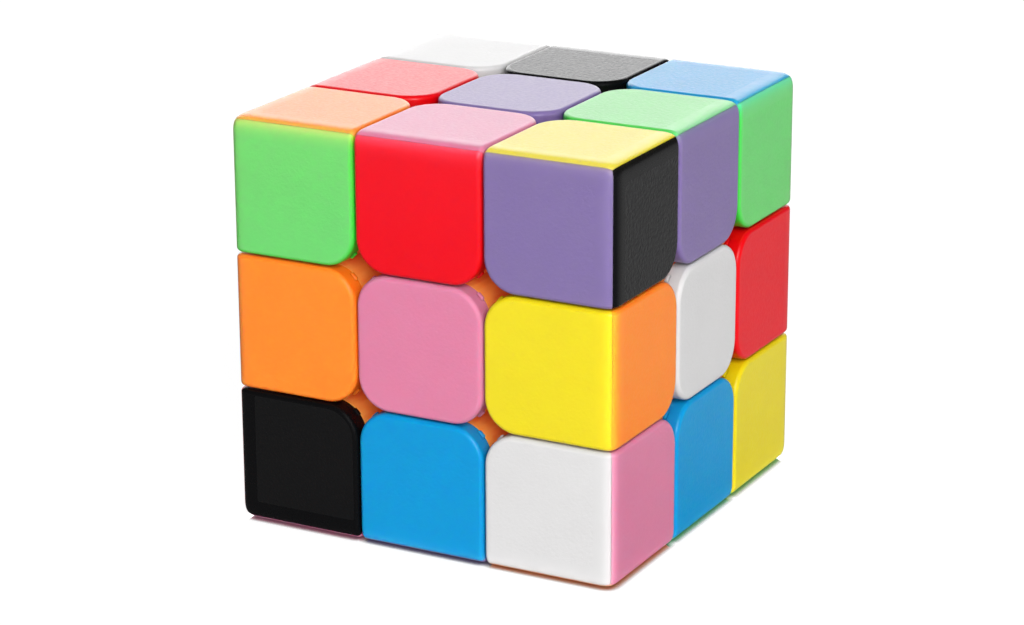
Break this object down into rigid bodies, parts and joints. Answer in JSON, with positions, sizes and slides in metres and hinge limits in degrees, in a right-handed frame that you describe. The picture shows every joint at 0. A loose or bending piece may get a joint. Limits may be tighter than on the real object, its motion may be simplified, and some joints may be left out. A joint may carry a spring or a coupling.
{
  "type": "twisty puzzle cube",
  "caption": "Cube puzzle whose six outer layers turn about a screwed core, with rounded stickerless tiles in many colours on every side",
  "frame": {"origin": "middle of the core, where the three turning axes cross; it is also the middle of the cube", "axes": "+X is the right side, -Y is the front side and +Z is the up side; every side of the cube is square to an axis"},
  "size_m": [0.056, 0.056, 0.056],
  "materials": {
    "white_tile": "satin",
    "black_tile": "satin",
    "red_tile": "satin",
    "orange_tile": "satin",
    "yellow_tile": "satin",
    "green_tile": "satin",
    "blue_tile": "satin",
    "purple_tile": "satin",
    "pink_tile": "satin",
    "base_plastic": "satin",
    "core_nylon": "matte",
    "screw_steel": "satin",
    "spring_steel": "polished"
  },
  "bodies": {
    "core": {"core": "core_nylon", "centre_screws": "screw_steel", "centre_springs": "spring_steel", "centre_washers": "screw_steel"},
    "up_centre": {"up_centre_base": "base_plastic", "up_centre_tile": "purple_tile"},
    "down_centre": {"down_centre_base": "base_plastic", "down_centre_tile": "white_tile"},
    "front_centre": {"front_centre_base": "base_plastic", "front_centre_tile": "pink_tile"},
    "right_centre": {"right_centre_base": "base_plastic", "right_centre_tile": "white_tile"},
    "back_centre": {"back_centre_base": "base_plastic", "back_centre_tile": "yellow_tile"},
    "left_centre": {"left_centre_base": "base_plastic", "left_centre_tile": "green_tile"},
    "up_front_edge": {"up_front_edge_base": "base_plastic", "up_front_edge_tiles": "pink_tile"},
    "up_right_edge": {"up_right_edge_base": "base_plastic", "up_right_edge_tiles": "green_tile"},
    "up_back_edge": {"up_back_edge_base": "base_plastic", "up_back_edge_tiles": "black_tile"},
    "up_left_edge": {"up_left_edge_base": "base_plastic", "up_left_edge_tiles": "red_tile"},
    "front_right_edge": {"front_right_edge_base": "base_plastic", "front_right_edge_tiles": "yellow_tile"},
    "back_right_edge": {"back_right_edge_base": "base_plastic", "back_right_edge_tiles": "black_tile"},
    "back_left_edge": {"back_left_edge_base": "base_plastic", "back_left_edge_tiles": "blue_tile"},
    "front_left_edge": {"front_left_edge_base": "base_plastic", "front_left_edge_tiles": "orange_tile"},
    "down_front_edge": {"down_front_edge_base": "base_plastic", "down_front_edge_tiles": "purple_tile"},
    "down_right_edge": {"down_right_edge_base": "base_plastic", "down_right_edge_tiles": "green_tile"},
    "down_back_edge": {"down_back_edge_base": "base_plastic", "down_back_edge_tiles": "red_tile"},
    "down_left_edge": {"down_left_edge_base": "base_plastic", "down_left_edge_tiles": "yellow_tile"},
    "up_front_right_corner": {"up_front_right_corner_base": "base_plastic", "up_front_right_corner_tiles": "yellow_tile"},
    "up_back_right_corner": {"up_back_right_corner_base": "base_plastic", "up_back_right_corner_tiles": "blue_tile"},
    "up_back_left_corner": {"up_back_left_corner_base": "base_plastic", "up_back_left_corner_tiles": "white_tile"},
    "up_front_left_corner": {"up_front_left_corner_base": "base_plastic", "up_front_left_corner_tiles": "orange_tile"},
    "down_front_right_corner": {"down_front_right_corner_base": "base_plastic", "down_front_right_corner_tiles": "orange_tile"},
    "down_back_right_corner": {"down_back_right_corner_base": "base_plastic", "down_back_right_corner_tiles": "blue_tile"},
    "down_back_left_corner": {"down_back_left_corner_base": "base_plastic", "down_back_left_corner_tiles": "black_tile"},
    "down_front_left_corner": {"down_front_left_corner_base": "base_plastic", "down_front_left_corner_tiles": "pink_tile"}
  },
  "joints": [
    {"name": "turn_up", "type": "hinge", "parent": "core", "child": "up_centre", "pos_m": [0, 0, 0], "axis": [0, 0, 1], "continuous": true},
    {"name": "turn_down", "type": "hinge", "parent": "core", "child": "down_centre", "pos_m": [0, 0, 0], "axis": [0, 0, -1], "continuous": true},
    {"name": "turn_front", "type": "hinge", "parent": "core", "child": "front_centre", "pos_m": [0, 0, 0], "axis": [0, -1, 0], "continuous": true},
    {"name": "turn_right", "type": "hinge", "parent": "core", "child": "right_centre", "pos_m": [0, 0, 0], "axis": [1, 0, 0], "continuous": true},
    {"name": "turn_back", "type": "hinge", "parent": "core", "child": "back_centre", "pos_m": [0, 0, 0], "axis": [0, 1, 0], "continuous": true},
    {"name": "turn_left", "type": "hinge", "parent": "core", "child": "left_centre", "pos_m": [0, 0, 0], "axis": [-1, 0, 0], "continuous": true},
    {"name": "back_right_edge_on_back", "type": "hinge", "parent": "right_centre", "child": "back_right_edge", "pos_m": [0, 0, 0], "axis": [0, 1, 0], "continuous": true},
    {"name": "front_right_edge_on_front", "type": "hinge", "parent": "right_centre", "child": "front_right_edge", "pos_m": [0, 0, 0], "axis": [0, -1, 0], "continuous": true},
    {"name": "up_right_edge_on_up", "type": "hinge", "parent": "right_centre", "child": "up_right_edge", "pos_m": [0, 0, 0], "axis": [0, 0, 1], "continuous": true},
    {"name": "down_right_edge_on_down", "type": "hinge", "parent": "right_centre", "child": "down_right_edge", "pos_m": [0, 0, 0], "axis": [0, 0, -1], "continuous": true},
    {"name": "back_left_edge_on_left", "type": "hinge", "parent": "back_centre", "child": "back_left_edge", "pos_m": [0, 0, 0], "axis": [-1, 0, 0], "continuous": true},
    {"name": "front_left_edge_on_left", "type": "hinge", "parent": "front_centre", "child": "front_left_edge", "pos_m": [0, 0, 0], "axis": [-1, 0, 0], "continuous": true},
    {"name": "up_left_edge_on_left", "type": "hinge", "parent": "up_centre", "child": "up_left_edge", "pos_m": [0, 0, 0], "axis": [-1, 0, 0], "continuous": true},
    {"name": "down_left_edge_on_left", "type": "hinge", "parent": "down_centre", "child": "down_left_edge", "pos_m": [0, 0, 0], "axis": [-1, 0, 0], "continuous": true},
    {"name": "up_back_edge_on_up", "type": "hinge", "parent": "back_centre", "child": "up_back_edge", "pos_m": [0, 0, 0], "axis": [0, 0, 1], "continuous": true},
    {"name": "down_back_edge_on_back", "type": "hinge", "parent": "down_centre", "child": "down_back_edge", "pos_m": [0, 0, 0], "axis": [0, 1, 0], "continuous": true},
    {"name": "up_front_edge_on_front", "type": "hinge", "parent": "up_centre", "child": "up_front_edge", "pos_m": [0, 0, 0], "axis": [0, -1, 0], "continuous": true},
    {"name": "down_front_edge_on_down", "type": "hinge", "parent": "front_centre", "child": "down_front_edge", "pos_m": [0, 0, 0], "axis": [0, 0, -1], "continuous": true},
    {"name": "up_back_right_corner_on_right", "type": "hinge", "parent": "up_back_edge", "child": "up_back_right_corner", "pos_m": [0, 0, 0], "axis": [1, 0, 0], "continuous": true},
    {"name": "down_back_right_corner_on_right", "type": "hinge", "parent": "down_back_edge", "child": "down_back_right_corner", "pos_m": [0, 0, 0], "axis": [1, 0, 0], "continuous": true},
    {"name": "up_front_right_corner_on_right", "type": "hinge", "parent": "up_front_edge", "child": "up_front_right_corner", "pos_m": [0, 0, 0], "axis": [1, 0, 0], "continuous": true},
    {"name": "down_front_right_corner_on_right", "type": "hinge", "parent": "down_front_edge", "child": "down_front_right_corner", "pos_m": [0, 0, 0], "axis": [1, 0, 0], "continuous": true},
    {"name": "up_back_left_corner_on_left", "type": "hinge", "parent": "up_back_edge", "child": "up_back_left_corner", "pos_m": [0, 0, 0], "axis": [-1, 0, 0], "continuous": true},
    {"name": "down_back_left_corner_on_left", "type": "hinge", "parent": "down_back_edge", "child": "down_back_left_corner", "pos_m": [0, 0, 0], "axis": [-1, 0, 0], "continuous": true},
    {"name": "up_front_left_corner_on_left", "type": "hinge", "parent": "up_front_edge", "child": "up_front_left_corner", "pos_m": [0, 0, 0], "axis": [-1, 0, 0], "continuous": true},
    {"name": "down_front_left_corner_on_left", "type": "hinge", "parent": "down_front_edge", "child": "down_front_left_corner", "pos_m": [0, 0, 0], "axis": [-1, 0, 0], "continuous": true}
  ],
  "couplings": [
    {"joint": "back_right_edge_on_back", "follows": "turn_back", "ratio": 1},
    {"joint": "front_right_edge_on_front", "follows": "turn_front", "ratio": 1},
    {"joint": "up_right_edge_on_up", "follows": "turn_up", "ratio": 1},
    {"joint": "down_right_edge_on_down", "follows": "turn_down", "ratio": 1},
    {"joint": "back_left_edge_on_left", "follows": "turn_left", "ratio": 1},
    {"joint": "front_left_edge_on_left", "follows": "turn_left", "ratio": 1},
    {"joint": "up_left_edge_on_left", "follows": "turn_left", "ratio": 1},
    {"joint": "down_left_edge_on_left", "follows": "turn_left", "ratio": 1},
    {"joint": "up_back_edge_on_up", "follows": "turn_up", "ratio": 1},
    {"joint": "down_back_edge_on_back", "follows": "turn_back", "ratio": 1},
    {"joint": "up_front_edge_on_front", "follows": "turn_front", "ratio": 1},
    {"joint": "down_front_edge_on_down", "follows": "turn_down", "ratio": 1},
    {"joint": "up_back_right_corner_on_right", "follows": "turn_right", "ratio": 1},
    {"joint": "down_back_right_corner_on_right", "follows": "turn_right", "ratio": 1},
    {"joint": "up_front_right_corner_on_right", "follows": "turn_right", "ratio": 1},
    {"joint": "down_front_right_corner_on_right", "follows": "turn_right", "ratio": 1},
    {"joint": "up_back_left_corner_on_left", "follows": "turn_left", "ratio": 1},
    {"joint": "down_back_left_corner_on_left", "follows": "turn_left", "ratio": 1},
    {"joint": "up_front_left_corner_on_left", "follows": "turn_left", "ratio": 1},
    {"joint": "down_front_left_corner_on_left", "follows": "turn_left", "ratio": 1}
  ]
}
